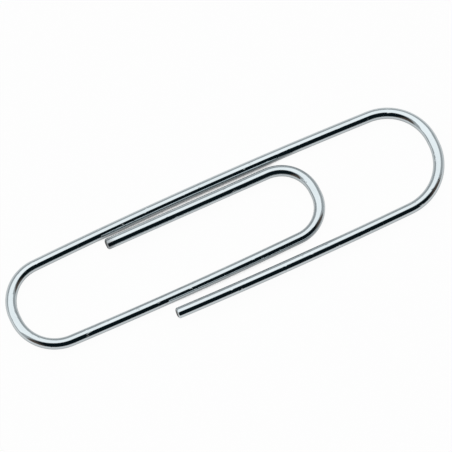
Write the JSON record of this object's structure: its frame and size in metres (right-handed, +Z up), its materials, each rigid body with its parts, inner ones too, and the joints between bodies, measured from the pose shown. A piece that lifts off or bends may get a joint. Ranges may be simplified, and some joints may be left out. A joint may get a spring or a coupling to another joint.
{
  "type": "paper clip",
  "caption": "Bright plated steel wire bent flat into an outer loop and a nested tongue, which spring apart to slide over the edge of sheets of paper and hold them together.",
  "frame": {"origin": "under the middle of the clip's outline, on the surface that it lies on", "axes": "+X along the clip from the heel bend towards the front bend, +Y across it towards the outer leg, +Z up out of its plane"},
  "size_m": [0.033, 0.0088, 0.0014],
  "materials": {
    "plated_wire": "bright plated steel wire, drawn smooth"
  },
  "bodies": {
    "outer_loop": {"front_bend_leg_side": "plated_wire", "outer_leg": "plated_wire", "heel_bend_leg_side": "plated_wire"},
    "outer_free_end": {"front_bend_tail_side": "plated_wire", "outer_tail": "plated_wire"},
    "tongue": {"heel_bend_tongue_side": "plated_wire", "tongue_leg": "plated_wire", "tongue_bend_leg_side": "plated_wire"},
    "tongue_free_end": {"tongue_bend_tail_side": "plated_wire", "tongue_tail": "plated_wire"}
  },
  "joints": [
    {"name": "heel_twist", "type": "hinge", "parent": "outer_loop", "child": "tongue", "pos_m": [-0.0161, 0.00068, 0.0004], "axis": [0, -1, 0], "range_deg": [-0.4, 8], "stiffness_Nm_per_rad": 0.19},
    {"name": "front_twist", "type": "hinge", "parent": "outer_loop", "child": "outer_free_end", "pos_m": [0.0161, 0.00018, 0.0004], "axis": [0, 1, 0], "range_deg": [-1.6, 4], "stiffness_Nm_per_rad": 0.17},
    {"name": "tongue_twist", "type": "hinge", "parent": "tongue", "child": "tongue_free_end", "pos_m": [0.00695, 0.00025, 0.00056], "axis": [0, 1, 0], "range_deg": [-1.3, 3], "stiffness_Nm_per_rad": 0.34}
  ]
}
